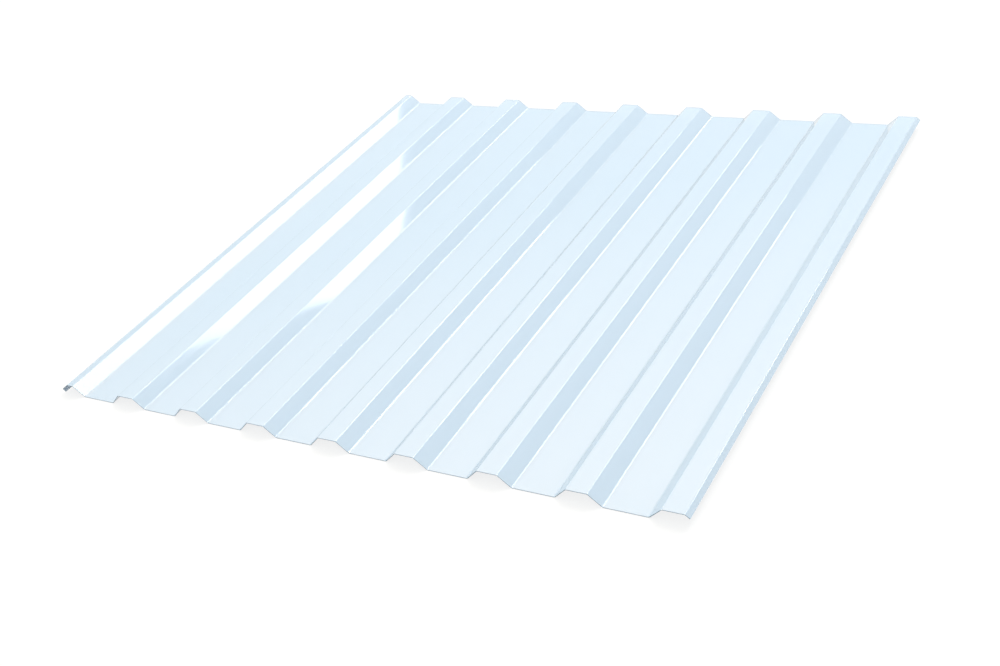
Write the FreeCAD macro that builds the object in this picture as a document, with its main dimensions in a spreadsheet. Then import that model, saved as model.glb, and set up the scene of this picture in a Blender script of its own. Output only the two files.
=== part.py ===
import FreeCAD, Part

import os

import Sketcher

# Trapezoidal PVC roofing sheet, formed in one piece.
#
# The sheet lies flat. X runs across its ribs, Y along them and Z up. Its pans rest on Z = 0,
# and the origin is the middle of the rectangle it covers. Every size is in millimetres.
#
# One repeat of the profile, from the middle of a pan to the middle of the next, is padded
# along the ribs and patterned across the sheet. Two more pads finish its long edges. The
# underlap is a narrow rib whose leg has a foot folded back under it, and the overlap is a
# full rib that ends in a short lip. The bends are tight at the ribs' tops and easier at the
# pans.

DIMENSIONS = {
    "sheet_length": 1078.0,     # along the ribs
    "pitch": 137.5,             # from rib to rib
    "pitch_count": 8,           # pans, one fewer than the ribs
    "profile_depth": 18.0,      # from a pan's face up to a rib's face
    "crest_width": 32.5,        # flat top of a rib, corner to corner
    "web_run": 19.5,            # sideways reach of a sloping web
    "thickness": 1.0,
    "rib_bend": 1.5,            # inside radius of the bends at a rib's top
    "pan_bend": 5.0,            # inside radius of the bends at a pan
    "underlap_top": 14.0,       # flat top of the underlap rib, corner to corner
    "leg_run": 17.0,            # leg of the underlap rib, sideways
    "leg_drop": 11.0,           # and downwards
    "foot_run": 6.0,            # foot folded back under the leg, sideways
    "foot_drop": 5.0,           # and downwards
    "fold_bend": 1.0,           # inside radius of the fold between leg and foot
    "lip_run": 6.5,             # lip of the overlap rib, sideways
}

NAME = "profiled_sheet"

D = DIMENSIONS

# Lengths used in the outlines, each as its expression and its value.
HALF_PAN = (
    "(sizes.pitch - sizes.crest_width) / 2 - sizes.web_run",
    (D["pitch"] - D["crest_width"]) / 2 - D["web_run"],
)
WEB_RUN = ("sizes.web_run", D["web_run"])
DEPTH = ("sizes.profile_depth", D["profile_depth"])
CREST = ("sizes.crest_width", D["crest_width"])
TOP = ("sizes.underlap_top", D["underlap_top"])
LEG_RUN = ("sizes.leg_run", D["leg_run"])
LEG_DROP = ("sizes.leg_drop", D["leg_drop"])
FOOT_RUN = ("sizes.foot_run", D["foot_run"])
FOOT_DROP = ("sizes.foot_drop", D["foot_drop"])
LIP_RUN = ("sizes.lip_run", D["lip_run"])
LIP_DROP = (
    "sizes.lip_run * sizes.profile_depth / sizes.web_run",
    D["lip_run"] * D["profile_depth"] / D["web_run"],
)

# Each outline follows the upper face from the middle of a pan, corner by corner. A step is
# its sideways length and sign, then its height and sign; a flat has no height.
REPEAT = [
    (HALF_PAN, 1, None, 0),
    (WEB_RUN, 1, DEPTH, 1),
    (CREST, 1, None, 0),
    (WEB_RUN, 1, DEPTH, -1),
    (HALF_PAN, 1, None, 0),
]
OVERLAP = [
    (HALF_PAN, 1, None, 0),
    (WEB_RUN, 1, DEPTH, 1),
    (CREST, 1, None, 0),
    (LIP_RUN, 1, LIP_DROP, -1),
]
UNDERLAP = [
    (HALF_PAN, -1, None, 0),
    (WEB_RUN, -1, DEPTH, 1),
    (TOP, -1, None, 0),
    (LEG_RUN, -1, LEG_DROP, -1),
    (FOOT_RUN, 1, FOOT_DROP, -1),
]
FOLD = 4                        # the corner of the underlap where leg and foot meet

FIRST_START = ("sizes.pitch / 2", D["pitch"] / 2)
LAST_START = ("sizes.pitch * (sizes.pitch_count - 0.5)", D["pitch"] * (D["pitch_count"] - 0.5))


def make_sizes(doc):
    """The spreadsheet that drives every sketch and feature."""
    sizes = doc.addObject("Spreadsheet::Sheet", "sizes")
    for row, (name, value) in enumerate(DIMENSIONS.items(), start=1):
        sizes.set(f"A{row}", name)
        sizes.set(f"B{row}", str(value))
        sizes.setAlias(f"B{row}", name)
    doc.recompute()
    return sizes


def origin_feature(body, role):
    """One of the body's own planes or axes."""
    for feature in body.Origin.OriginFeatures:
        if feature.Role == role:
            return feature
    raise RuntimeError(f"no {role}")


def upper_corners(start, steps):
    """The corners of the upper face, in the order of the steps."""
    x, z = start[1], D["thickness"]
    corners = [FreeCAD.Vector(x, z, 0)]
    for run, run_sign, drop, drop_sign in steps:
        x += run_sign * run[1]
        if drop is not None:
            z += drop_sign * drop[1]
        corners.append(FreeCAD.Vector(x, z, 0))
    return corners


def lower_corners(upper, side):
    """The same corners on the other face, one thickness away."""
    normals = []
    for a, b in zip(upper, upper[1:]):
        along = (b - a).normalize()
        normals.append(FreeCAD.Vector(side * along.y, -side * along.x, 0))
    corners = []
    for index, corner in enumerate(upper):
        before = normals[max(index - 1, 0)]
        after = normals[min(index, len(normals) - 1)]
        reach = D["thickness"] / (1 + before.dot(after))
        corners.append(corner + (before + after) * reach)
    return corners


def make_outline(body, label, start, steps):
    """A closed outline of one strip of the sheet, with sharp corners."""
    sketch = body.newObject("Sketcher::SketchObject", label)
    sketch.AttachmentSupport = [(origin_feature(body, "XZ_Plane"), "")]
    sketch.MapMode = "FlatFace"

    side = steps[0][1]
    upper = upper_corners(start, steps)
    lower = lower_corners(upper, side)
    ring = upper + lower[::-1]
    for a, b in zip(ring, ring[1:] + ring[:1]):
        sketch.addGeometry(Part.LineSegment(a, b), False)
    count = len(ring)
    flats = len(steps)
    for index in range(count):
        following = (index + 1) % count
        sketch.addConstraint(Sketcher.Constraint("Coincident", index, 2, following, 1))

    def bind(constraint, expression):
        number = sketch.addConstraint(constraint)
        sketch.setExpression(f"Constraints[{number}]", expression)

    bind(Sketcher.Constraint("DistanceX", -1, 1, 0, 1, start[1]), start[0])
    bind(Sketcher.Constraint("DistanceY", -1, 1, 0, 1, D["thickness"]), "sizes.thickness")
    for index, (run, run_sign, drop, drop_sign) in enumerate(steps):
        ends = (index, 1, index, 2) if run_sign > 0 else (index, 2, index, 1)
        bind(Sketcher.Constraint("DistanceX", *ends, run[1]), run[0])
        if drop is None:
            sketch.addConstraint(Sketcher.Constraint("Horizontal", index))
        else:
            ends = (index, 1, index, 2) if drop_sign > 0 else (index, 2, index, 1)
            bind(Sketcher.Constraint("DistanceY", *ends, drop[1]), drop[0])

    # The other face, one thickness away, and the two square ends.
    for index in range(flats):
        other = count - 2 - index
        sketch.addConstraint(Sketcher.Constraint("Parallel", other, index))
        gap = Sketcher.Constraint("Distance", other, 1, index, D["thickness"])
        bind(gap, "sizes.thickness")
    sketch.addConstraint(Sketcher.Constraint("Perpendicular", flats, flats - 1))
    sketch.addConstraint(Sketcher.Constraint("Perpendicular", count - 1, 0))
    return sketch


def make_pad(body, label, sketch):
    """The strip, as long as the sheet and centred on its middle."""
    pad = body.newObject("PartDesign::Pad", label)
    pad.Profile = sketch
    pad.SideType = "Symmetric"
    pad.setExpression("Length", "sizes.sheet_length")
    pad.Refine = True
    return pad


def bend_corners(sketch, steps):
    """The inner and outer corner of every bend in order, and whether it is at a pan."""
    flats = len(steps)
    count = len(sketch.Geometry)
    side = steps[0][1]
    bends = []
    for index in range(1, flats):
        upper = sketch.Geometry[index].StartPoint
        lower = sketch.Geometry[count - 1 - index].StartPoint
        into = upper - sketch.Geometry[index - 1].StartPoint
        out = sketch.Geometry[index].EndPoint - upper
        at_pan = side * (into.x * out.y - into.y * out.x) > 0
        bends.append((upper, lower, at_pan) if at_pan else (lower, upper, at_pan))
    return bends


def edges_at(shape, places):
    """Names of the edges along the ribs that stand at the given places."""
    names = []
    for number, edge in enumerate(shape.Edges, start=1):
        ends = [vertex.Point for vertex in edge.Vertexes]
        if len(ends) != 2 or abs(ends[0].y - ends[1].y) < 0.5 * D["sheet_length"]:
            continue
        for place in places:
            if abs(ends[0].x - place.x) < 1e-3 and abs(ends[0].z - place.y) < 1e-3:
                names.append(f"Edge{number}")
    if len(names) != len(places):
        raise RuntimeError(f"{len(names)} edges found for {len(places)} places")
    return names


def make_fillet(body, label, base, places, radius):
    """Rounded bends at the given places."""
    fillet = body.newObject("PartDesign::Fillet", label)
    fillet.Base = (base, edges_at(base.Shape, places))
    fillet.setExpression("Radius", radius)
    fillet.Refine = False
    body.Document.recompute()
    return fillet


def make_sheet(doc):
    """The whole sheet as one body."""
    body = doc.addObject("PartDesign::Body", NAME)
    body.Label = NAME

    repeat = make_outline(body, "repeat_outline", FIRST_START, REPEAT)
    repeat_pad = make_pad(body, "repeat_strip", repeat)
    pattern = body.newObject("PartDesign::LinearPattern", "repeats")
    pattern.Originals = [repeat_pad]
    pattern.Direction = (origin_feature(body, "X_Axis"), [""])
    pattern.Mode = "Spacing"
    pattern.setExpression("Offset", "sizes.pitch")
    pattern.setExpression("Occurrences", "sizes.pitch_count - 1")
    pattern.Refine = True
    body.Tip = pattern
    doc.recompute()

    underlap = make_outline(body, "underlap_outline", FIRST_START, UNDERLAP)
    make_pad(body, "underlap_strip", underlap)
    overlap = make_outline(body, "overlap_outline", LAST_START, OVERLAP)
    strips = make_pad(body, "overlap_strip", overlap)
    doc.recompute()

    bends = bend_corners(overlap, OVERLAP)
    underlap_bends = bend_corners(underlap, UNDERLAP)
    fold = underlap_bends.pop(FOLD - 1)
    bends += underlap_bends
    for number in range(D["pitch_count"] - 1):
        shift = FreeCAD.Vector(number * D["pitch"], 0, 0)
        for inner, outer, at_pan in bend_corners(repeat, REPEAT):
            bends.append((inner + shift, outer + shift, at_pan))

    pan_bends = [bend for bend in bends if bend[2]]
    rib_bends = [bend for bend in bends if not bend[2]]
    tip = strips
    for label, group, radius in (
        ("rib_bends", rib_bends, "sizes.rib_bend"),
        ("pan_bends", pan_bends, "sizes.pan_bend"),
        ("fold", [fold], "sizes.fold_bend"),
    ):
        inner = [bend[0] for bend in group]
        outer = [bend[1] for bend in group]
        tip = make_fillet(body, label + "_inside", tip, inner, radius)
        tip = make_fillet(body, label + "_outside", tip, outer, radius + " + sizes.thickness")

    # The body stands so that the middle of the rectangle it covers is the origin.
    box = tip.Shape.BoundBox
    body.Placement.Base = FreeCAD.Vector(-box.Center.x, -box.Center.y, -box.ZMin)
    doc.recompute()
    return body


def check(doc):
    """Stop when any object is in error or any shape is not sound."""
    for thing in doc.Objects:
        if "Invalid" in thing.State or "Error" in thing.State:
            raise RuntimeError(f"{thing.Label} is in error")
        shape = getattr(thing, "Shape", None)
        if shape is not None and not thing.isDerivedFrom("App::DatumElement"):
            if shape.isNull() or not shape.isValid():
                raise RuntimeError(f"{thing.Label} has no sound shape")


def main():
    doc = FreeCAD.newDocument("trapezoidal_sheet")
    make_sizes(doc)
    body = make_sheet(doc)
    check(doc)
    if len(body.Shape.Solids) != 1:
        raise RuntimeError("the sheet is not one solid")
    os.makedirs("parts", exist_ok=True)
    body.Shape.exportStep(f"parts/{body.Label}.step")


main()
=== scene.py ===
"""Trapezoidal PVC roofing sheet: the finished look of the part, in metres.

The sheet is made again as one piece by a Geometry Nodes tree, from the same sizes as the
model, with each bend as a few narrow flats that catch thin lines of light. It is clear PVC with
a pale blue tint, polished on both faces and sawn square at its two ends.
"""

import math

import bpy
from mathutils import Matrix, Vector

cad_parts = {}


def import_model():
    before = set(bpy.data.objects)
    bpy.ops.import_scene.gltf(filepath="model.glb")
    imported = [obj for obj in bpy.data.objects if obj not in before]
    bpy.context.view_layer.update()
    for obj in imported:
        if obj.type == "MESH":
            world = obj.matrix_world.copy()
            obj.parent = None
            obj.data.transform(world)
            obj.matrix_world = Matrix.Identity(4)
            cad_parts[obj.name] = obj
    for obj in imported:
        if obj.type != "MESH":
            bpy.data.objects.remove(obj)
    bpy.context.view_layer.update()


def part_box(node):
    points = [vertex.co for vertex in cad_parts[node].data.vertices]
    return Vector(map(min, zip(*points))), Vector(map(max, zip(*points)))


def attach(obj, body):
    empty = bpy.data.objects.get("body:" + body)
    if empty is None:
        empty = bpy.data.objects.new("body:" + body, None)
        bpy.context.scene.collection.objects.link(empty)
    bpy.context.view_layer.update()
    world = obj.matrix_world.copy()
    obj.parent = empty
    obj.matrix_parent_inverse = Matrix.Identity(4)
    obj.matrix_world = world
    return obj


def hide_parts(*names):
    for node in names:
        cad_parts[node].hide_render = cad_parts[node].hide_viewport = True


# Sizes of the sheet, in metres.
LENGTH = 1.078
PITCH = 0.1375
PANS = 8
DEPTH = 0.018
CREST_WIDTH = 0.0325
WEB_RUN = 0.0195
THICKNESS = 0.001
RIB_BEND = 0.0015
PAN_BEND = 0.005
UNDERLAP_TOP = 0.014
LEG_RUN = 0.017
LEG_DROP = 0.011
FOOT_RUN = 0.006
FOOT_DROP = 0.005
FOLD_BEND = 0.001
LIP_RUN = 0.0065

# How the sheet is drawn: flats to a bend, the least turn in radians that stays a crisp
# crease, and how near two points lie before they become one.
FLATS_PER_BEND = 3
CREASE = 0.12
SAME_POINT = 0.00001

# The plastic: its tint face on, a painted dark reflection that darkens it seen edge on, and its
# colour where it is sawn.
FACE_TINT = (0.64, 0.78, 0.915, 1.0)
# Painted dark reflection: a darker colour mixed into the base colour where the sheet is seen
# nearly edge on.
EDGE_ON_PAINTED_REFLECTION = (0.22, 0.32, 0.40, 1.0)
SAWN_TINT = (0.22, 0.34, 0.44, 1.0)
EDGE_ON_FROM = 0.82
EDGE_ON_RATE = 4.5
EDGE_ON_MOST = 0.8
SAWN_DEPTH = 0.00005

# The studio. Radiances are red, green and blue, and 1 is white.
WHITE = (1.0, 1.0, 1.0, 1.0)
CAMERA_AT = (1.16979, -1.63000, 1.15308)
CAMERA_AHEAD = (-0.50333549, 0.67002887, -0.54563239)
CAMERA_UP = (-0.12500236, 0.56834889, 0.81323671)
CAMERA_LENS = 47.865

FLOOR_REACH = 20.0
FLOOR_GAP = 0.0003
FLOOR_GREY = (0.2, 0.2, 0.2, 1.0)
FLOOR_LIFT = 0.80

WALLS = (0.712, 0.745, 0.735)
WEST_WALL = (0.08, 0.12, 0.14)
LIT_WALL = (2.6, 2.0, 1.3)
LIT_WALL_WAY = (-0.35, 0.50, 0.79)
LIT_WALL_FOCUS = 20.0

LAMP = (1.0, 0.6, 0.3)
LAMP_FROM = 0.47
LAMP_RATE = 9.0
LAMP_MOST = 1.6
LAMP_SIDE_RATE = 5.0

# The soft box: its way and distance from the sheet, its two axes, and its outline as shares
# of that distance along them.
SOFTBOX_FAR = 8.0
SOFTBOX_WAY = (0.33, 0.66, 0.675)
SOFTBOX_ACROSS = (0.894, -0.447, 0.0)
SOFTBOX_RISE = (-0.302, -0.604, 0.738)
SOFTBOX_RADIANCE = 8.0
SOFTBOX_OUTLINE = [
    (-0.37, -0.145),
    (-0.10, -0.099),
    (0.033, -0.082),
    (0.104, -0.068),
    (0.111, -0.002),
    (0.117, 0.022),
    (0.130, 0.100),
    (0.140, 0.128),
    (0.200, 0.215),
    (0.210, 0.380),
    (-0.37, 0.380),
]


# ---------------------------------------------------------------- node maths


class Link:
    """A socket that takes part in plain maths; each operator adds its Math node."""

    def __init__(self, tree, socket):
        self.tree = tree
        self.socket = socket

    def _math(self, operation, *values):
        return self.tree.math(operation, *values)

    def __add__(self, other):
        return self._math("ADD", self, other)

    def __radd__(self, other):
        return self._math("ADD", other, self)

    def __sub__(self, other):
        return self._math("SUBTRACT", self, other)

    def __rsub__(self, other):
        return self._math("SUBTRACT", other, self)

    def __mul__(self, other):
        return self._math("MULTIPLY", self, other)

    def __rmul__(self, other):
        return self._math("MULTIPLY", other, self)

    def __truediv__(self, other):
        return self._math("DIVIDE", self, other)

    def __rtruediv__(self, other):
        return self._math("DIVIDE", other, self)

    def __pow__(self, other):
        return self._math("POWER", self, other)

    def __mod__(self, other):
        return self._math("FLOORED_MODULO", self, other)

    def __gt__(self, other):
        return self._math("GREATER_THAN", self, other)

    def __abs__(self):
        return self._math("ABSOLUTE", self)

    def floor(self):
        return self._math("FLOOR", self)

    def equals(self, other):
        return self._math("COMPARE", self, other, 0.1)


class Nodes:
    """Adds nodes to one tree."""

    def __init__(self, tree):
        self.tree = tree

    def add(self, kind, settings=None, values=None, out=0):
        """One node of any kind: its settings first, then its inputs by name or number."""
        node = self.tree.nodes.new(kind)
        for name, value in (settings or {}).items():
            setattr(node, name, value)
        for key, value in (values or {}).items():
            self.put(node.inputs[key], value)
        return Link(self, node.outputs[out]) if node.outputs else node

    def put(self, socket, value):
        if isinstance(value, Link):
            self.tree.links.new(value.socket, socket)
        else:
            socket.default_value = value

    def math(self, operation, *values):
        kind = "ShaderNodeMath"
        return self.add(kind, {"operation": operation}, dict(enumerate(values)))


# ---------------------------------------------------------------- the sheet


SHEET_INPUTS = {
    "Length": LENGTH,
    "Pitch": PITCH,
    "Pans": float(PANS),
    "Depth": DEPTH,
    "Crest Width": CREST_WIDTH,
    "Web Run": WEB_RUN,
    "Thickness": THICKNESS,
    "Rib Bend": RIB_BEND,
    "Pan Bend": PAN_BEND,
    "Underlap Top": UNDERLAP_TOP,
    "Leg Run": LEG_RUN,
    "Leg Drop": LEG_DROP,
    "Foot Run": FOOT_RUN,
    "Foot Drop": FOOT_DROP,
    "Fold Bend": FOLD_BEND,
    "Lip Run": LIP_RUN,
    "First Rib": 0.0,
}


def sheet_tree(material):
    """The whole sheet: its section bent from a line of corners, drawn out and thickened."""
    tree = bpy.data.node_groups.new("sheet_maker", "GeometryNodeTree")
    for name, value in SHEET_INPUTS.items():
        socket = tree.interface.new_socket(name, in_out="INPUT", socket_type="NodeSocketFloat")
        socket.default_value = value
    tree.interface.new_socket("Geometry", in_out="OUTPUT", socket_type="NodeSocketGeometry")
    make = Nodes(tree)
    entry = tree.nodes.new("NodeGroupInput")
    size = {name: Link(make, entry.outputs[name]) for name in SHEET_INPUTS}

    # Four corners to a rib, and one more for the foot of the underlap.
    corners = (size["Pans"] + 1) * 4 + 1
    whole = make.add("FunctionNodeFloatToInt", {"rounding_mode": "ROUND"}, {0: corners})
    line = make.add("GeometryNodeMeshLine", {"mode": "OFFSET"}, {"Count": whole})

    number = make.add("GeometryNodeInputIndex")
    step = number - 1
    rib = (step / 4).floor()
    corner = step % 4
    side = (corner > 1.5) * 2 - 1
    outer = abs(corner - 1.5) > 1
    half = size["Crest Width"] / 2
    across = size["First Rib"] + rib * size["Pitch"] + side * (half + outer * size["Web Run"])
    height = (1 - outer) * size["Depth"]

    # The underlap's top, fold and foot, and the overlap's lip, take the place of corners.
    foot = number.equals(0)
    fold = number.equals(1)
    ledge = number.equals(2)
    lip = number.equals(corners - 1)
    special = foot + fold + ledge + lip
    ledge_x = size["First Rib"] + half - size["Underlap Top"]
    fold_x = ledge_x - size["Leg Run"]
    fold_z = size["Depth"] - size["Leg Drop"]
    lip_x = size["First Rib"] + size["Pans"] * size["Pitch"] + half + size["Lip Run"]
    lip_z = size["Depth"] * (1 - size["Lip Run"] / size["Web Run"])
    across = (
        across * (1 - special)
        + foot * (fold_x + size["Foot Run"])
        + fold * fold_x
        + ledge * ledge_x
        + lip * lip_x
    )
    height = (
        height * (1 - special)
        + foot * (fold_z - size["Foot Drop"])
        + fold * fold_z
        + ledge * size["Depth"]
        + lip * lip_z
    )
    place = make.add(
        "ShaderNodeCombineXYZ",
        values={"X": across, "Y": size["Length"] / 2, "Z": height + size["Thickness"]},
    )
    line = make.add("GeometryNodeSetPosition", values={"Geometry": line, "Position": place})

    # A rib's bends are measured on the inside, so their outer face adds the thickness.
    raised = height > size["Depth"] / 2
    radius = (
        (1 - fold) * (1 - raised) * size["Pan Bend"]
        + (1 - fold) * raised * (size["Rib Bend"] + size["Thickness"])
        + fold * (size["Fold Bend"] + size["Thickness"])
    )
    kept = make.add(
        "GeometryNodeStoreNamedAttribute",
        {"data_type": "FLOAT", "domain": "POINT"},
        {"Geometry": line, "Name": "bend", "Value": radius},
    )
    curve = make.add("GeometryNodeMeshToCurve", values={"Mesh": kept})
    bend = make.add("GeometryNodeInputNamedAttribute", {"data_type": "FLOAT"}, {"Name": "bend"})
    curve = make.add(
        "GeometryNodeFilletCurve",
        {"mode": "POLY"},
        {"Curve": curve, "Radius": bend, "Limit Radius": True, "Count": FLATS_PER_BEND},
    )
    section = make.add("GeometryNodeCurveToMesh", values={"Curve": curve})

    # Draw the section out along the ribs, then give the face its thickness.
    along = make.add("ShaderNodeCombineXYZ", values={"Y": 0 - size["Length"]})
    face = make.add(
        "GeometryNodeExtrudeMesh",
        {"mode": "EDGES"},
        {"Mesh": section, "Offset": along, "Offset Scale": 1.0},
    )
    under = make.add(
        "GeometryNodeExtrudeMesh",
        {"mode": "FACES"},
        {"Mesh": face, "Offset Scale": 0 - size["Thickness"], "Individual": False},
    )
    under = make.add("GeometryNodeFlipFaces", values={"Mesh": under})
    both = make.add("GeometryNodeJoinGeometry")
    join = both.socket.node
    tree.links.new(under.socket, join.inputs[0])
    tree.links.new(face.socket, join.inputs[0])
    solid = make.add(
        "GeometryNodeMergeByDistance", values={"Geometry": both, "Distance": SAME_POINT}
    )

    # Each bend is a few narrow flats with crisp creases, so it throws a thin line of light.
    solid = make.add(
        "GeometryNodeSetShadeSmooth", {"domain": "FACE"}, {"Geometry": solid, "Shade Smooth": True}
    )
    turn = make.add("GeometryNodeInputMeshEdgeAngle")
    solid = make.add(
        "GeometryNodeSetShadeSmooth",
        {"domain": "EDGE"},
        {"Geometry": solid, "Selection": turn > CREASE, "Shade Smooth": False},
    )
    solid = make.add("GeometryNodeRealizeInstances", values={"Geometry": solid})
    solid = make.add("GeometryNodeSetMaterial", values={"Geometry": solid, "Material": material})
    leave = tree.nodes.new("NodeGroupOutput")
    tree.links.new(solid.socket, leave.inputs["Geometry"])
    return tree


def make_sheet(material, right_edge):
    """The sheet as one plain mesh, in the model's own place."""
    holder = bpy.data.objects.new("sheet_maker", bpy.data.meshes.new("sheet_maker"))
    bpy.context.collection.objects.link(holder)
    modifier = holder.modifiers.new("sheet", "NODES")
    modifier.node_group = sheet_tree(material)
    # The rightmost corner of the lip lies on the model's own edge.
    first = right_edge - LIP_RUN - CREST_WIDTH / 2 - PANS * PITCH
    for item in modifier.node_group.interface.items_tree:
        if item.name == "First Rib":
            modifier[item.identifier] = first
    # Normals follow the large flats, so each pan and web reflects as a flat.
    evened = holder.modifiers.new("normals", "WEIGHTED_NORMAL")
    evened.keep_sharp = True
    evened.weight = 100
    holder.update_tag()
    graph = bpy.context.evaluated_depsgraph_get()
    mesh = bpy.data.meshes.new_from_object(holder.evaluated_get(graph), depsgraph=graph)
    bpy.data.objects.remove(holder)
    mesh.name = "pvc_sheet"
    sheet = bpy.data.objects.new("pvc_sheet", mesh)
    bpy.context.collection.objects.link(sheet)
    return sheet


# ---------------------------------------------------------------- material


def blend(make, factor, first, second):
    """A colour between two; a Mix node has its colours at inputs 6 and 7 and output 2."""
    values = {"Factor": factor, 6: first, 7: second}
    return make.add("ShaderNodeMix", {"data_type": "RGBA"}, values, out=2)


def clear_pvc():
    """Polished clear PVC with a pale blue tint; its sawn ends are darker and dull."""
    material = bpy.data.materials.new("clear_blue_pvc")
    material.use_nodes = True
    tree = material.node_tree
    make = Nodes(tree)
    shader = tree.nodes["Principled BSDF"].inputs

    spot = make.add("ShaderNodeTexCoord", out="Object")
    along = make.add("ShaderNodeSeparateXYZ", values={0: spot}, out="Y")
    sawn = abs(along) > LENGTH / 2 - SAWN_DEPTH

    # Draw lines left by the die: fine waves across the ribs that run the whole length.
    stretched = make.add(
        "ShaderNodeMapping", values={"Vector": spot, "Scale": (1.0, 0.03, 1.0)}
    )
    lines = make.add(
        "ShaderNodeTexNoise",
        {"noise_dimensions": "3D"},
        {"Vector": stretched, "Scale": 260.0, "Detail": 2.0, "Roughness": 0.5},
    )
    waves = make.add(
        "ShaderNodeTexNoise",
        {"noise_dimensions": "3D"},
        {"Vector": spot, "Scale": 9.0, "Detail": 1.0, "Roughness": 0.5},
    )
    relief = make.add(
        "ShaderNodeBump",
        values={"Strength": 1.0, "Distance": 0.000004, "Height": lines * 5.0 + waves * 8.0},
    )

    # Seen almost edge on, the base colour is painted darker: a painted dark reflection of the
    # surroundings at grazing angles.
    slant = make.add("ShaderNodeLayerWeight", values={"Blend": 0.5}, out=1)
    painted_reflection = make.math("MAXIMUM", (slant - EDGE_ON_FROM) * EDGE_ON_RATE, 0.0)
    painted_reflection = make.math("MINIMUM", painted_reflection, EDGE_ON_MOST)
    # The face tint with the painted dark reflection mixed in by viewing angle.
    face = blend(make, painted_reflection, FACE_TINT, EDGE_ON_PAINTED_REFLECTION)
    make.put(shader["Base Color"], blend(make, sawn, face, SAWN_TINT))
    make.put(shader["Roughness"], 0.05 + sawn * 0.4)
    make.put(shader["Alpha"], 0.72 + sawn * 0.2)
    make.put(shader["Normal"], relief)
    shader["IOR"].default_value = 1.54
    shader["Coat Weight"].default_value = 0.5
    shader["Coat Roughness"].default_value = 0.03
    return material


# ---------------------------------------------------------------- studio


def look_from(location, forward, up):
    """A camera placed by its own axes."""
    ahead = Vector(forward).normalized()
    right = ahead.cross(Vector(up)).normalized()
    top = right.cross(ahead)
    turn = Matrix((right, top, -ahead)).transposed().to_4x4()
    return Matrix.Translation(Vector(location)) @ turn


def make_camera():
    data = bpy.data.cameras.new("camera")
    data.lens = CAMERA_LENS
    data.sensor_width = 36.0
    data.clip_start = 0.01
    data.clip_end = 100.0
    camera = bpy.data.objects.new("camera", data)
    bpy.context.collection.objects.link(camera)
    camera.matrix_world = look_from(CAMERA_AT, CAMERA_AHEAD, CAMERA_UP)
    bpy.context.scene.camera = camera


def sees_white(make):
    """1 for a ray that meets the plain white background: seen, mirrored or through glass."""
    path = make.add("ShaderNodeLightPath").socket.node
    seen = Link(make, path.outputs["Is Camera Ray"])
    for name in ("Is Glossy Ray", "Is Transmission Ray"):
        seen = make.math("MAXIMUM", seen, Link(make, path.outputs[name]))
    return seen


def make_floor():
    """A matt floor just under the sheet, lifted to white where no shadow falls on it."""
    mesh = bpy.data.meshes.new("floor")
    corners = [(-1, -1), (1, -1), (1, 1), (-1, 1)]
    places = [(x * FLOOR_REACH, y * FLOOR_REACH, -FLOOR_GAP) for x, y in corners]
    mesh.from_pydata(places, [], [(0, 1, 2, 3)])
    floor = bpy.data.objects.new("floor", mesh)
    bpy.context.collection.objects.link(floor)
    material = bpy.data.materials.new("pale_floor")
    material.use_nodes = True
    tree = material.node_tree
    make = Nodes(tree)
    tree.nodes.remove(tree.nodes["Principled BSDF"])
    matt = make.add("ShaderNodeBsdfDiffuse", values={"Color": FLOOR_GREY})
    lift = sees_white(make) * FLOOR_LIFT
    white = make.add("ShaderNodeEmission", values={"Color": WHITE, "Strength": lift})
    both = make.add("ShaderNodeAddShader", values={0: matt, 1: white})
    tree.links.new(both.socket, tree.nodes["Material Output"].inputs["Surface"])
    mesh.materials.append(material)


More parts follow.
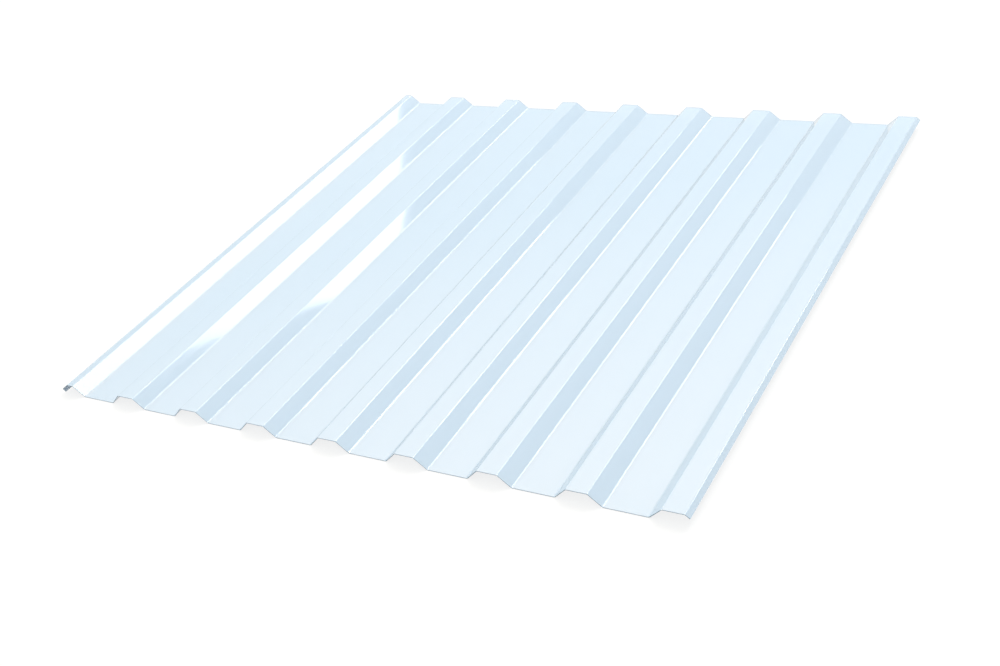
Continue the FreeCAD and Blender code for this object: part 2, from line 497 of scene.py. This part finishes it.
def make_world():
    """Even pale walls, brighter high up on the far left.

    The camera and the gloss see them plain white, and the gloss a soft lamp on the left too.
    """
    world = bpy.data.worlds.new("studio")
    bpy.context.scene.world = world
    world.use_nodes = True
    tree = world.node_tree
    make = Nodes(tree)
    split = make.add(
        "ShaderNodeSeparateXYZ", values={0: make.add("ShaderNodeTexCoord", out=0)}
    ).socket.node
    east, north, rise = (Link(make, split.outputs[i]) for i in range(3))
    toward = east * LIT_WALL_WAY[0] + north * LIT_WALL_WAY[1] + rise * LIT_WALL_WAY[2]
    glow = make.math("MAXIMUM", toward, 0.0) ** LIT_WALL_FOCUS
    west = make.math("MAXIMUM", east * -1.0, 0.0)
    walls = {i: WALLS[i] + glow * LIT_WALL[i] + west * WEST_WALL[i] for i in range(3)}
    walls = make.add("ShaderNodeCombineColor", values=walls)
    soft = tree.nodes["Background"]
    make.put(soft.inputs["Color"], walls)
    make.put(soft.inputs["Strength"], 1.0)
    own = Link(make, soft.outputs[0])

    # What the gloss mirrors is plain white, with a warm soft lamp high up on the left.
    lamp = make.math("MAXIMUM", (rise - LAMP_FROM) * LAMP_RATE, 0.0)
    lamp = make.math("MINIMUM", lamp, LAMP_MOST)
    lamp = lamp * make.math("MINIMUM", west * LAMP_SIDE_RATE, 1.0)
    seen = {i: 1.0 + lamp * LAMP[i] for i in range(3)}
    seen = make.add("ShaderNodeCombineColor", values=seen)
    white = make.add("ShaderNodeBackground", values={"Color": seen, "Strength": 1.0})
    mixed = make.add("ShaderNodeMixShader", values={0: sees_white(make), 1: own, 2: white})
    tree.links.new(mixed.socket, tree.nodes["World Output"].inputs["Surface"])


def make_softbox():
    """A large soft box behind the far right corner, as a lit panel that the camera can't see."""
    middle = SOFTBOX_FAR * Vector(SOFTBOX_WAY).normalized()
    across = SOFTBOX_FAR * Vector(SOFTBOX_ACROSS)
    rise = SOFTBOX_FAR * Vector(SOFTBOX_RISE)
    mesh = bpy.data.meshes.new("softbox")
    corners = [middle + across * u + rise * v for u, v in SOFTBOX_OUTLINE]
    mesh.from_pydata(corners, [], [tuple(range(len(corners)))])
    panel = bpy.data.objects.new("softbox", mesh)
    bpy.context.collection.objects.link(panel)
    panel.visible_camera = False
    panel.visible_shadow = False
    material = bpy.data.materials.new("softbox_cloth")
    material.use_nodes = True
    tree = material.node_tree
    tree.nodes.remove(tree.nodes["Principled BSDF"])
    make = Nodes(tree)
    lit = make.add("ShaderNodeEmission", values={"Color": WHITE, "Strength": SOFTBOX_RADIANCE})
    tree.links.new(lit.socket, tree.nodes["Material Output"].inputs["Surface"])
    mesh.materials.append(material)


def main():
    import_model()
    _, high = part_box("profiled_sheet")

    sheet = make_sheet(clear_pvc(), high[0])
    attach(sheet, "root")
    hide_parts("profiled_sheet")

    bpy.context.scene.view_settings.view_transform = "Standard"
    make_camera()
    make_floor()
    make_world()
    make_softbox()


main()
